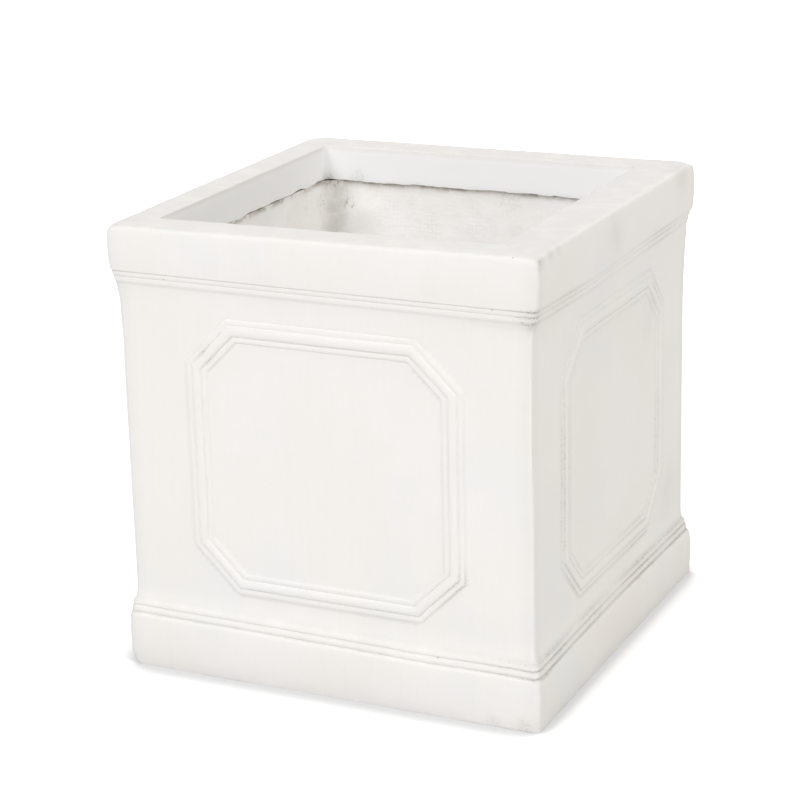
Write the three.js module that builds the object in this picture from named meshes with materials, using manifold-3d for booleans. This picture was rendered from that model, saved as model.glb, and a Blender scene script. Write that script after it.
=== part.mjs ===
// A square garden planter in the Versailles style, cast in pale fibre cement, in millimetres, +Z up.
// The origin is the centre of the footprint, on the ground. -Y is the front.
// The planter is one hand-laid casting. A moulded facing carries everything that shows from outside:
// plinth, beads, coves, octagonal frames, rim and the collar turned in at the mouth. Behind it lie
// four wall sheets, four packed corner coves and a floor slab, which rests in a rebate of the facing.
import * as THREE from "three";
import { ParametricGeometry } from "three/addons/geometries/ParametricGeometry.js";
import { mergeVertices } from "three/addons/utils/BufferGeometryUtils.js";
import Module from "manifold-3d";

// Overall sizes.
const HEIGHT = 414;
const WALL_WIDTH = 390; // across the plain walls, between the mouldings
const CORNER_RADIUS = 6; // upright outer corners

// Plinth at the foot, and rim band at the top.
const PLINTH_PROJECTION = 7.8; // out from the plain wall
const PLINTH_HEIGHT = 50; // up to the groove under its beads
const FOOT_ROUND = 3; // where the plinth meets the ground
const PLINTH_SHOULDER = 6; // rounding of the plinth's upper edge
const RIM_PROJECTION = 6.7;
const RIM_DEPTH = 45;
const RIM_EDGE_ROUND = 4; // outer top edge
const RIM_TUCK = 0.6; // how far the band's lower edge draws in
const BAND_CROWN = 0.6; // belly of the rim band and of the plinth face

// Beads, two under the rim and two on the plinth, and the coves that run from them into the wall.
const BEAD_COUNT = 2;
const RIM_BEAD_PITCH = 5.2;
const RIM_BEAD_SWELL = 0.9; // a bead's crest above the grooves at its sides
const RIM_BEAD_STEP = 1; // each groove under the rim lies this much further in than the last
const PLINTH_BEAD_PITCH = 7;
const PLINTH_BEAD_SWELL = 1.2;
const PLINTH_BEAD_STEP = 1.3;
const RIM_COVE_HEIGHT = 21;
const PLINTH_COVE_HEIGHT = 13.5;
const COVE_DEPTH = 2.2; // from the last groove in to the plain wall

// Octagonal frame on each wall. The margins run from the frame's outer edge to where the wall ends.
const FRAME_SIDE_MARGIN = 64;
const FRAME_END_MARGIN = 3.5;
const FRAME_CLIP = 42; // leg of the 45 degree corner cut
const FRAME_ROOT = 3; // how deep the frame is keyed into the wall
const OUTER_FILLET = { width: 5.4, swell: 0.8 };
const MAIN_TORUS = { width: 9.4, swell: 2 };
const INNER_BEAD = { width: 5.6, swell: 0.9 };
const FRAME_GROOVE = 0.3; // least height of the frame between its beads

// Lay-up behind the facing.
const FACING_THICKNESS = 12.5; // at the plain wall
const FACING_INNER_RADIUS = 4;
const BACKING_THICKNESS = 14;
const CORNER_COVE_RADIUS = 28; // rounded inside corners, where the reinforcing mesh is folded round
const BACKING_HEADROOM = 1.5; // gap left under the collar's ragged lip
const SEAT_CLEARANCE = 1; // extra outer rounding of what is laid into the facing's corners

// Mouth and collar.
const COLLAR_DEPTH = 37;
const COLLAR_OVERHANG = 5.5; // how far the collar's lip stands in front of the backing
const COLLAR_DRAFT = 1.5; // the collar opens this much downwards, on each side
const COLLAR_LIP_ROUND = 1.5;
const MOUTH_EDGE_ROUND = 3;
const MOUTH_CORNER_RADIUS = 5;

// Floor slab and the rebate that carries it.
const REBATE_WIDTH = 12;
const FLOOR_LIFT = 8; // ground to the underside of the slab
const FLOOR_THICKNESS = 22;
const DRAIN_DIAMETER = 26;
const DRAIN_FLARE = 5; // the drain is wider by this at its lower end, all round
const CUT_OVERSHOOT = 1; // a cutting shape runs past the faces it cuts

// Facets. An arc gets two facets for each of its steps.
const CORNER_STEPS = 3;
const CURVE_STEPS = 6;
const CORNER_COVE_STEPS = 8;
const DRAIN_FACETS = 32;

// Sizes worked out from those above.
const wallHalf = WALL_WIDTH / 2;
const rimHalf = wallHalf + RIM_PROJECTION;
const plinthHalf = wallHalf + PLINTH_PROJECTION;
const facingInner = wallHalf - FACING_THICKNESS;
const backingInner = facingInner - BACKING_THICKNESS;
const collarHalf = backingInner - COLLAR_OVERHANG;
const mouthHalf = collarHalf - COLLAR_DRAFT;
const footInner = facingInner - REBATE_WIDTH;
const cornerCoveStart = backingInner - CORNER_COVE_RADIUS;
const rimBottom = HEIGHT - RIM_DEPTH;
const rimBeadsBottom = rimBottom - BEAD_COUNT * RIM_BEAD_PITCH;
const wallTop = rimBeadsBottom - RIM_COVE_HEIGHT;
const wallBottom = PLINTH_HEIGHT + BEAD_COUNT * PLINTH_BEAD_PITCH + PLINTH_COVE_HEIGHT;
const collarBottom = HEIGHT - COLLAR_DEPTH;
const floorTop = FLOOR_LIFT + FLOOR_THICKNESS;
const backingTop = collarBottom - BACKING_HEADROOM;

const wasm = await Module();
wasm.setup();

const facingFinish = new THREE.MeshStandardMaterial({ color: 0xe9e6df, roughness: 0.9, metalness: 0 });
const backingFinish = new THREE.MeshStandardMaterial({ color: 0xdcd6cb, roughness: 0.95, metalness: 0 });
const coveFinish = new THREE.MeshStandardMaterial({ color: 0xc9c2b6, roughness: 0.97, metalness: 0 });
const floorFinish = new THREE.MeshStandardMaterial({ color: 0xd2ccc1, roughness: 0.95, metalness: 0 });

// Points of a path without the repeated one where it closes.
function openPoints(path, divisions) {
  const points = path.getPoints(divisions);
  if (points[0].distanceTo(points.at(-1)) < 1e-6) points.pop();
  return points;
}

// A plain square outline with rounded corners, counter-clockwise.
function squareOutline(half, radius) {
  const flat = half - radius;
  const outline = new THREE.Shape();
  outline.absarc(flat, flat, radius, 0, Math.PI / 2, false);
  outline.absarc(-flat, flat, radius, Math.PI / 2, Math.PI, false);
  outline.absarc(-flat, -flat, radius, Math.PI, 1.5 * Math.PI, false);
  outline.absarc(flat, -flat, radius, 1.5 * Math.PI, 2 * Math.PI, false);
  outline.closePath();
  return outline;
}

// Ring-shaped solid: a closed section (x outwards, y up) carried round an outline that depends on it.
// outlineAt(sectionPoint) gives the outline for each section point, always with as many points.
function sweepRound(section, outlineAt) {
  const rings = section.map(outlineAt);
  const around = rings[0].length;
  const surface = (u, v, target) => {
    const s = Math.round(v * section.length) % section.length;
    const p = rings[s][Math.round(u * around) % around];
    target.set(p.x, p.y, section[s].y);
  };
  return new ParametricGeometry(surface, around, section.length);
}

// Position-only copy with its shared vertices merged, as closed solids need.
function welded(geometry) {
  const bare = geometry.clone();
  bare.deleteAttribute("normal");
  bare.deleteAttribute("uv");
  return mergeVertices(bare, 1e-4);
}

function toSolid(geometry) {
  const closed = welded(geometry);
  return new wasm.Manifold(
    new wasm.Mesh({
      numProp: 3,
      vertProperties: Float32Array.from(closed.attributes.position.array),
      triVerts: Uint32Array.from(closed.index.array),
    }),
  );
}

function toGeometry(solid) {
  const { vertProperties, triVerts } = solid.getMesh();
  const geometry = new THREE.BufferGeometry();
  geometry.setAttribute("position", new THREE.BufferAttribute(vertProperties, 3));
  geometry.setIndex(new THREE.BufferAttribute(triVerts, 1));
  geometry.computeVertexNormals();
  return geometry;
}

// Adds a row of round beads to a section path that is at its first groove. step leads from one groove
// to the next (x outwards, y up), and a cubic's crest lies at three quarters of its handles.
function addBeads(path, count, step, swell) {
  const handle = new THREE.Vector2(step.y, -step.x).setLength((swell * 4) / 3);
  for (let i = 0; i < count; i++) {
    const end = path.currentPoint.clone().add(step);
    const rise = path.currentPoint.clone().add(handle);
    const fall = end.clone().add(handle);
    path.bezierCurveTo(rise.x, rise.y, fall.x, fall.y, end.x, end.y);
  }
}

// Section of the facing, from the foot up the outside, over the rim and down the inside.
function facingSection() {
  const path = new THREE.Path();
  const lastGroove = wallHalf + COVE_DEPTH;
  const firstPlinthGroove = lastGroove + BEAD_COUNT * PLINTH_BEAD_STEP;
  const plinthFace = plinthHalf - BAND_CROWN;
  const rimFace = rimHalf - BAND_CROWN;

  // Plinth and its beads.
  path.moveTo(footInner, 0);
  path.lineTo(plinthFace - FOOT_ROUND, 0);
  path.quadraticCurveTo(plinthFace, 0, plinthFace, FOOT_ROUND);
  const shoulder = PLINTH_HEIGHT - PLINTH_SHOULDER;
  path.quadraticCurveTo(plinthFace + 2 * BAND_CROWN, PLINTH_HEIGHT / 2, plinthFace, shoulder);
  path.quadraticCurveTo(plinthFace, PLINTH_HEIGHT, firstPlinthGroove, PLINTH_HEIGHT);
  addBeads(path, BEAD_COUNT, { x: -PLINTH_BEAD_STEP, y: PLINTH_BEAD_PITCH }, PLINTH_BEAD_SWELL);

  // Cove, plain wall, cove. Each cove ends tangent to the wall.
  path.quadraticCurveTo(wallHalf, wallBottom - (2 * PLINTH_COVE_HEIGHT) / 3, wallHalf, wallBottom);
  path.lineTo(wallHalf, wallTop);
  path.quadraticCurveTo(wallHalf, wallTop + (2 * RIM_COVE_HEIGHT) / 3, lastGroove, rimBeadsBottom);

  // Beads under the rim, then the rim band.
  addBeads(path, BEAD_COUNT, { x: RIM_BEAD_STEP, y: RIM_BEAD_PITCH }, RIM_BEAD_SWELL);
  path.lineTo(rimFace - RIM_TUCK, rimBottom);
  const bandTop = HEIGHT - RIM_EDGE_ROUND;
  const bellyLow = rimBottom + RIM_DEPTH / 6;
  path.bezierCurveTo(rimHalf, bellyLow, rimHalf, rimBottom + RIM_DEPTH / 2, rimFace, bandTop);
  path.quadraticCurveTo(rimFace, HEIGHT, rimFace - RIM_EDGE_ROUND, HEIGHT);

  // Rim top, collar and its lip.
  path.lineTo(mouthHalf + MOUTH_EDGE_ROUND, HEIGHT);
  path.quadraticCurveTo(mouthHalf, HEIGHT, mouthHalf, HEIGHT - MOUTH_EDGE_ROUND);
  path.lineTo(collarHalf, collarBottom + COLLAR_LIP_ROUND);
  path.quadraticCurveTo(collarHalf, collarBottom, collarHalf + COLLAR_LIP_ROUND, collarBottom);

  // Under the collar, down the back of the wall, and the rebate for the floor.
  path.lineTo(facingInner, collarBottom);
  path.lineTo(facingInner, FLOOR_LIFT);
  path.lineTo(footInner, FLOOR_LIFT);
  path.closePath();
  return openPoints(path, CURVE_STEPS);
}

// Section of an octagonal frame: x is the distance in from its outer edge, y the height off the wall.
function frameSection() {
  const beads = [OUTER_FILLET, MAIN_TORUS, INNER_BEAD];
  const path = new THREE.Path();
  path.moveTo(0, -FRAME_ROOT);
  path.lineTo(0, 0);
  beads.forEach(({ width, swell }, i) => {
    const from = path.currentPoint.x;
    const reach = (swell * 4) / 3;
    const endHeight = i === beads.length - 1 ? 0 : FRAME_GROOVE;
    path.bezierCurveTo(from, reach, from + width, reach, from + width, endHeight);
  });
  path.lineTo(path.currentPoint.x, -FRAME_ROOT);
  path.closePath();
  return openPoints(path, CURVE_STEPS);
}

// Octagon with 45 degree corner cuts, moved inwards by inset, counter-clockwise.
function octagon(inset) {
  const halfWidth = wallHalf - FRAME_SIDE_MARGIN - inset;
  const halfHeight = (wallTop - wallBottom) / 2 - FRAME_END_MARGIN - inset;
  const clip = FRAME_CLIP - inset * (2 - Math.SQRT2);
  const quadrants = [[1, 1], [-1, 1], [-1, -1], [1, -1]];
  return quadrants.flatMap(([sx, sy]) => {
    const onSide = new THREE.Vector2(sx * halfWidth, sy * (halfHeight - clip));
    const onEnd = new THREE.Vector2(sx * (halfWidth - clip), sy * halfHeight);
    return sx * sy > 0 ? [onSide, onEnd] : [onEnd, onSide];
  });
}

// The four wall directions: the angle turns the front wall's pieces to that wall.
const SIDES = [
  ["front", 0],
  ["right", Math.PI / 2],
  ["back", Math.PI],
  ["left", -Math.PI / 2],
];

// The facing in one piece: the section carried round the square, with a frame added on each wall.
function makeFacing() {
  const ringAt = ({ x, y }) => {
    const inner = y > floorTop && x < facingInner ? MOUTH_CORNER_RADIUS : FACING_INNER_RADIUS;
    const radius = x > facingInner ? CORNER_RADIUS : inner;
    return openPoints(squareOutline(x, radius), CORNER_STEPS);
  };
  let facing = toSolid(sweepRound(facingSection(), ringAt));
  const frame = sweepRound(frameSection(), ({ x }) => octagon(x))
    .rotateX(Math.PI / 2)
    .translate(0, -wallHalf, (wallBottom + wallTop) / 2);
  for (const [, angle] of SIDES) {
    facing = facing.add(toSolid(frame.clone().rotateZ(angle)));
  }
  return toGeometry(facing);
}

// One wall's backing sheet, lying between the corner coves.
function makeBacking() {
  const sheet = new THREE.BoxGeometry(2 * cornerCoveStart, BACKING_THICKNESS, backingTop - floorTop);
  return sheet.translate(0, -(backingInner + BACKING_THICKNESS / 2), (floorTop + backingTop) / 2);
}

// The packed cove of the front right corner: square behind, hollow-round towards the soil.
function makeCornerCove() {
  const outline = new THREE.Shape();
  const cornerRadius = FACING_INNER_RADIUS + SEAT_CLEARANCE;
  const flat = facingInner - cornerRadius;
  outline.moveTo(cornerCoveStart, -facingInner);
  outline.lineTo(flat, -facingInner);
  outline.absarc(flat, -flat, cornerRadius, -Math.PI / 2, 0, false);
  outline.lineTo(facingInner, -cornerCoveStart);
  outline.lineTo(backingInner, -cornerCoveStart);
  outline.absarc(cornerCoveStart, -cornerCoveStart, CORNER_COVE_RADIUS, 0, -Math.PI / 2, true);
  outline.lineTo(cornerCoveStart, -facingInner);
  const cove = new THREE.ExtrudeGeometry(outline, {
    depth: backingTop - floorTop,
    bevelEnabled: false,
    curveSegments: CORNER_COVE_STEPS,
  });
  return cove.translate(0, 0, floorTop);
}

// Floor slab, seated in the facing's rebate, with a flared drain hole.
function makeFloor() {
  const outline = squareOutline(facingInner, FACING_INNER_RADIUS + SEAT_CLEARANCE);
  const slab = new THREE.ExtrudeGeometry(outline, {
    depth: FLOOR_THICKNESS,
    bevelEnabled: false,
    curveSegments: CORNER_STEPS,
  }).translate(0, 0, FLOOR_LIFT);
  const radius = DRAIN_DIAMETER / 2;
  const cutHeight = FLOOR_THICKNESS + 2 * CUT_OVERSHOOT;
  const drain = new THREE.CylinderGeometry(radius, radius + DRAIN_FLARE, cutHeight, DRAIN_FACETS)
    .rotateX(Math.PI / 2)
    .translate(0, 0, FLOOR_LIFT + FLOOR_THICKNESS / 2);
  return toGeometry(toSolid(slab).subtract(toSolid(drain)));
}

function addPiece(group, name, geometry, material) {
  const mesh = new THREE.Mesh(geometry, material);
  mesh.name = name;
  group.add(mesh);
  return mesh;
}

const planter = new THREE.Group();
addPiece(planter, "facing_shell", makeFacing(), facingFinish);
addPiece(planter, "floor_slab", makeFloor(), floorFinish);
for (const [side, angle] of SIDES) {
  addPiece(planter, `backing_${side}`, makeBacking(), backingFinish).rotation.z = angle;
}
for (const [corner, angle] of [
  ["front_right", 0],
  ["back_right", Math.PI / 2],
  ["back_left", Math.PI],
  ["front_left", -Math.PI / 2],
]) {
  addPiece(planter, `cove_${corner}`, makeCornerCove(), coveFinish).rotation.z = angle;
}

export default planter;
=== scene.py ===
"""Looks of a square garden planter, cast in pale fibre cement with an octagonal frame on each wall.

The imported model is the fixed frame. Everything here is in metres in that frame: +Z up, -Y the front,
the ground at zero and the origin at the centre of the footprint. The moulded facing, the four backing
sheets, the four corner coves and the floor slab are modelled afresh over their plain solids, with the
unevenness of a casting that was laid up by hand in a mould.
"""

import logging
import math
from dataclasses import dataclass, field
from enum import Enum
from typing import Callable, Iterable

import bmesh
import bpy
import numpy as np
from mathutils import Matrix, Vector


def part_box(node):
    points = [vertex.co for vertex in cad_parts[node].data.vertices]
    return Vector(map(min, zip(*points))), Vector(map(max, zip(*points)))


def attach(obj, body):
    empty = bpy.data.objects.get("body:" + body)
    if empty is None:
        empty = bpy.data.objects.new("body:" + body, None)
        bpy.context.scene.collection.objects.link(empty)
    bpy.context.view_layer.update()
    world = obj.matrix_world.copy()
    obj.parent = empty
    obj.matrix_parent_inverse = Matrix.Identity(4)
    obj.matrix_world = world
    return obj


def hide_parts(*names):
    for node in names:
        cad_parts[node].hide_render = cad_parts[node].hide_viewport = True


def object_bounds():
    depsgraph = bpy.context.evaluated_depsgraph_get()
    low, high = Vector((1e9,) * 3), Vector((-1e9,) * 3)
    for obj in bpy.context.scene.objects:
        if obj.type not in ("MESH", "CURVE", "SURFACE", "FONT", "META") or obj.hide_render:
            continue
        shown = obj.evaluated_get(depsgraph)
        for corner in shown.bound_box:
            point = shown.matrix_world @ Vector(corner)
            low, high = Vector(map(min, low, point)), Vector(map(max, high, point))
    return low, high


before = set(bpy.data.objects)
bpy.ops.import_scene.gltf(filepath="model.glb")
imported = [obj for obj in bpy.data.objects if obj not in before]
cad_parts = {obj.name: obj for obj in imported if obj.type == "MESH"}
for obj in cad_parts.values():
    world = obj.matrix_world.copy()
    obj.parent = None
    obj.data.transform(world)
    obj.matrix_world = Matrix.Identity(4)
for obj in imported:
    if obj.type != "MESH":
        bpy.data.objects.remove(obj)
cad_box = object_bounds()

log = logging.getLogger("planter")
MM = 0.001
Piece = bpy.types.Object
Material = bpy.types.Material
Tree = bpy.types.NodeTree
Node = bpy.types.Node
Socket = bpy.types.NodeSocket
Rule = Callable[[Vector], bool]
Spots = tuple[tuple[tuple[float, float, float], float, float], ...]


class Turn(Enum):
    """A wall or corner of the planter, by the angle that turns the front or front right one to it."""

    FRONT = 0.0
    RIGHT = math.pi / 2
    BACK = math.pi
    LEFT = 1.5 * math.pi


class Part(Enum):
    """What is picked of a mesh, by its name in a bmesh."""

    FACE = "faces"
    EDGE = "edges"


class Grain(Enum):
    """Blender's procedural textures that displace a cast surface."""

    SOFT = "CLOUDS"
    GRITTY = "STUCCI"


# ---------------------------------------------------------------- bench: small steps used by each piece


def clear_selection() -> None:
    """Leaves object mode with nothing selected."""
    if bpy.context.object and bpy.context.object.mode != "OBJECT":
        bpy.ops.object.mode_set(mode="OBJECT")
    bpy.ops.object.select_all(action="DESELECT")


def make_active(piece: Piece) -> None:
    """Selects one object alone."""
    clear_selection()
    piece.select_set(True)
    bpy.context.view_layer.objects.active = piece


def open_mesh(piece: Piece) -> None:
    """Puts a piece in edit mode with all of it selected."""
    make_active(piece)
    bpy.ops.object.mode_set(mode="EDIT")
    select_all()


def close_mesh() -> None:
    """Goes back to object mode."""
    bpy.ops.object.mode_set(mode="OBJECT")


def select_all() -> None:
    """Selects all of a mesh in edit mode."""
    bpy.ops.mesh.select_all(action="SELECT")


def pick(piece: Piece, part: Part, rule: Rule) -> None:
    """Selects, in edit mode, the faces or edges whose every corner obeys a rule.

    Args:
        piece: the object in edit mode.
        part: faces or edges.
        rule: says whether a point belongs.
    """
    bpy.ops.mesh.select_mode(type=part.name)
    bpy.ops.mesh.select_all(action="DESELECT")
    mesh = bmesh.from_edit_mesh(piece.data)
    for item in getattr(mesh, part.value):
        if all(rule(v.co) for v in item.verts):
            item.select_set(True)
    bmesh.update_edit_mesh(piece.data, loop_triangles=False, destructive=False)


def cut_grid(piece: Piece, normal: Vector, places: Iterable[float], rule: Rule | None = None) -> None:
    """Cuts a mesh in edit mode by a row of parallel planes.

    Args:
        piece: the object in edit mode.
        normal: the planes' common normal.
        places: each plane's distance from the origin along the normal.
        rule: which faces are cut, by their corners; all if left out.
    """
    for place in places:
        if rule is None:
            select_all()
        else:
            pick(piece, Part.FACE, rule)
        bpy.ops.mesh.bisect(plane_co=normal * place, plane_no=normal)


def coordinates(piece: Piece) -> np.ndarray:
    """A mesh's vertices as rows of x, y, z."""
    flat = np.empty(3 * len(piece.data.vertices))
    piece.data.vertices.foreach_get("co", flat)
    return flat.reshape(-1, 3)


def store_weight(piece: Piece, name: str, weight: np.ndarray) -> None:
    """Keeps a weight from 0 to 1 at each vertex, for the materials to read.

    Args:
        piece: the object.
        name: the attribute's name.
        weight: one number a vertex.
    """
    attribute = piece.data.attributes.new(name, "FLOAT", "POINT")
    attribute.data.foreach_set("value", weight.astype(np.float32))


def group_by_weight(piece: Piece, name: str, weight: np.ndarray, levels: int = 16) -> None:
    """Makes a vertex group that limits a displacement.

    Args:
        piece: the object.
        name: the group's name.
        weight: one number from 0 to 1 a vertex.
        levels: how many steps the weight is rounded to.
    """
    group = piece.vertex_groups.new(name=name)
    stepped = np.rint(weight * levels).astype(int)
    for level in range(1, levels + 1):
        members = np.flatnonzero(stepped == level).tolist()
        if members:
            group.add(members, level / levels, "REPLACE")


def bell(distance: np.ndarray, reach: float) -> np.ndarray:
    """A weight that is 1 at no distance and dies away over a reach."""
    return np.exp(-((distance / reach) ** 2))


def slope(values: np.ndarray, low: float, high: float) -> np.ndarray:
    """A weight that rises evenly from 0 at low to 1 at high."""
    return np.clip((values - low) / (high - low), 0, 1)


def belt(values: np.ndarray, *stations: float) -> np.ndarray:
    """A weight that rises from 0 to 1 over the first two stations and falls over the last two."""
    return np.interp(values, stations, (0, 1, 1, 0))


def near_spots(points: np.ndarray, spots: Spots) -> np.ndarray:
    """How strongly some spots mark each point.

    Args:
        points: rows of x, y, z.
        spots: for each a place and a reach in millimetres, and a strength.

    Returns:
        The strongest mark at each point.
    """
    weight = np.zeros(len(points))
    for place, reach, strength in spots:
        apart = np.linalg.norm(points - np.array(place) * MM, axis=1)
        weight = np.maximum(weight, strength * bell(apart, reach * MM))
    return weight


def apply_modifier(piece: Piece, kind: str, **settings) -> None:
    """Puts a modifier on a piece and applies it.

    Args:
        piece: the object, in object mode.
        kind: the modifier's type.
        settings: its attributes.
    """
    make_active(piece)
    modifier = piece.modifiers.new(kind.lower(), kind)
    for name, value in settings.items():
        setattr(modifier, name, value)
    bpy.ops.object.modifier_apply(modifier=modifier.name)


def wear_by_noise(
    piece: Piece,
    grain: Grain,
    size: float,
    depth: float,
    direction: str = "NORMAL",
    level: float = 0.5,
    group: str = "",
    octaves: int = 1,
) -> None:
    """Displaces a mesh by one procedural texture and applies it.

    Args:
        piece: the object, in object mode.
        grain: the kind of texture.
        size: the width of its features, in metres.
        depth: the range of the displacement, in metres.
        direction: NORMAL, or X, Y or Z.
        level: the texture value that moves nothing.
        group: the vertex group that limits it.
        octaves: how many finer octaves a soft texture adds.
    """
    texture = bpy.data.textures.new(f"{piece.name}_{grain.name.lower()}", grain.value)
    texture.noise_scale = size
    if grain is Grain.SOFT:
        texture.noise_depth = octaves
    placed = {"texture": texture, "texture_coords": "LOCAL", "direction": direction, "vertex_group": group}
    apply_modifier(piece, "DISPLACE", strength=depth, mid_level=level, **placed)
    bpy.data.textures.remove(texture)


def push(piece: Piece, weight: np.ndarray, distance: float, direction: str = "NORMAL") -> None:
    """Moves a mesh smoothly, each vertex by its weight's share of a distance.

    Args:
        piece: the object, in object mode.
        weight: one number from 0 to 1 a vertex.
        distance: how far the weight 1 goes.
        direction: NORMAL, or X, Y or Z.
    """
    group_by_weight(piece, "pushed", np.clip(weight, 0, 1), 64)
    apply_modifier(piece, "DISPLACE", strength=distance, mid_level=0.0, direction=direction, vertex_group="pushed")
    piece.vertex_groups.remove(piece.vertex_groups["pushed"])


def hold_inside(piece: Piece) -> None:
    """Keeps a displaced mesh within the planter's own box.

    Args:
        piece: the object.
    """
    low, high = (np.array(corner) for corner in cad_box)
    piece.data.vertices.foreach_set("co", np.clip(coordinates(piece), low, high).ravel())
    piece.data.update()


def finish_piece(piece: Piece, material: Material, slot: str, *nodes: str) -> None:
    """Gives a piece its finish and its place in the model.

    Args:
        piece: the finished mesh, at the origin.
        material: its finish.
        slot: the record's material slot; not used.
        nodes: the plain solids that it stands for.
    """
    clear_selection()
    piece.data.materials.clear()
    piece.data.materials.append(material)
    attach(piece, "root")
    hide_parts(*nodes)
    log.info("%s: %d faces, for %s", piece.name, len(piece.data.polygons), ", ".join(nodes))


# ---------------------------------------------------------------- finishes


def linear(hex_colour: str) -> tuple[float, float, float, float]:
    """Turns an sRGB hex colour to linear red, green, blue and alpha.

    Args:
        hex_colour: six hex digits.

    Returns:
        The colour as Blender's sockets take it.
    """
    parts = [int(hex_colour[i : i + 2], 16) / 255 for i in (0, 2, 4)]
    channels = [c / 12.92 if c <= 0.04045 else ((c + 0.055) / 1.055) ** 2.4 for c in parts]
    return (*channels, 1.0)


def add_node(tree: Tree, kind: str, settings: dict | None = None, **inputs) -> Node:
    """Adds a node with its settings, values and links.

    Args:
        tree: the node tree.
        kind: the node's type, without its leading ShaderNode.
        settings: attributes of the node itself.
        inputs: socket names, with _ for a space, or _N for the Nth socket, and a value or an output socket.

    Returns:
        The new node.
    """
    node = tree.nodes.new("ShaderNode" + kind)
    for name, value in (settings or {}).items():
        setattr(node, name, value)
    for name, value in inputs.items():
        socket = node.inputs[int(name[1:])] if name[0] == "_" else node.inputs[name.replace("_", " ")]
        if isinstance(value, Socket):
            tree.links.new(value, socket)
        else:
            socket.default_value = value
    return node


def blend_colours(tree: Tree, share, first, second, mode: str = "MIX") -> Socket:
    """Mixes two colours.

    Args:
        tree: the node tree.
        share: how much of the second, a number or a socket.
        first: a colour or a socket.
        second: a colour or a socket.
        mode: the blend type.

    Returns:
        The mixed colour's socket.
    """
    settings = {"data_type": "RGBA", "blend_type": mode}
    return add_node(tree, "Mix", settings, _0=share, _6=first, _7=second).outputs[2]


def colour_layers(tree: Tree, ground: str, *layers: tuple[Socket, str]) -> Socket:
    """Lays colours over one another.

    Args:
        tree: the node tree.
        ground: the lowest colour.
        layers: the share and the colour of each layer, from the lowest up.

    Returns:
        The mixed colour's socket.
    """
    tint = linear(ground)
    for share, colour in layers:
        tint = blend_colours(tree, share, tint, linear(colour))
    return tint


def ramp(tree: Tree, value: Socket, low: float, high: float) -> Socket:
    """Stretches a value smoothly so that low becomes 0 and high becomes 1.

    Args:
        tree: the node tree.
        value: the socket to stretch.
        low: the value that becomes 0.
        high: the value that becomes 1.

    Returns:
        The stretched value's socket.
    """
    settings = {"interpolation_type": "SMOOTHSTEP"}
    return add_node(tree, "MapRange", settings, Value=value, From_Min=low, From_Max=high).outputs["Result"]


def product(tree: Tree, first, second) -> Socket:
    """Multiplies two values."""
    return add_node(tree, "Math", {"operation": "MULTIPLY"}, _0=first, _1=second).outputs[0]


def total(tree: Tree, first, second) -> Socket:
    """Adds two values."""
    return add_node(tree, "Math", {"operation": "ADD", "use_clamp": False}, _0=first, _1=second).outputs[0]


def greater(tree: Tree, first, second) -> Socket:
    """The greater of two values."""
    return add_node(tree, "Math", {"operation": "MAXIMUM"}, _0=first, _1=second).outputs[0]


def weights(tree: Tree, *names: str) -> list[Socket]:
    """The sockets of some weights that are stored on a piece."""
    return [add_node(tree, "Attribute", {"attribute_name": name}).outputs["Fac"] for name in names]


def direct_rays(tree: Tree) -> Socket:
    """1 for rays from the camera, and for those that a glossy or a clear body sends on."""
    rays = add_node(tree, "LightPath").outputs
    return greater(tree, greater(tree, rays["Is Camera Ray"], rays["Is Glossy Ray"]), rays["Is Transmission Ray"])


def start_material(name: str) -> tuple[Material, Tree, Socket]:
    """Makes an empty node material.

    Args:
        name: the material's name.

    Returns:
        The material, its tree and the Object coordinates' socket.
    """
    material = bpy.data.materials.new(name)
    material.use_nodes = True
    tree = material.node_tree
    tree.nodes.clear()
    return material, tree, add_node(tree, "TexCoord").outputs["Object"]


def finish_material(material: Material, **inputs) -> Material:
    """Gives a material its one shader.

    Args:
        material: the material, with its pattern made.
        inputs: the shader's sockets, as for add_node.

    Returns:
        The same material.
    """
    shader = add_node(material.node_tree, "BsdfPrincipled", **inputs)
    add_node(material.node_tree, "OutputMaterial", Surface=shader.outputs[0])
    return material


def noise(tree: Tree, place: Socket, size: float, detail: float = 2.0) -> Socket:
    """Procedural noise whose features are of a real size.

    Args:
        tree: the node tree.
        place: the coordinates.
        size: the width of its features, in metres.
        detail: how many finer octaves it holds.

    Returns:
        The noise value's socket.
    """
    return add_node(tree, "TexNoise", Vector=place, Scale=1 / size, Detail=detail).outputs[0]


def air_pits(tree: Tree, place: Socket, pitch: float, edge: float, middle: float) -> Socket:
    """Small round holes that air left against the mould, in a few cells of many.

    Args:
        tree: the node tree.
        place: the coordinates.
        pitch: the width of a cell, in metres.
        edge: the distance from its middle at which a hole begins, as a share of the cell.
        middle: the distance at which it is full.

    Returns:
        The holes' socket.
    """
    cells = add_node(tree, "TexVoronoi", Vector=place, Scale=1 / pitch).outputs
    return product(tree, ramp(tree, cells["Distance"], edge, middle), ramp(tree, cells["Color"], 0.86, 0.9))


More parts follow.
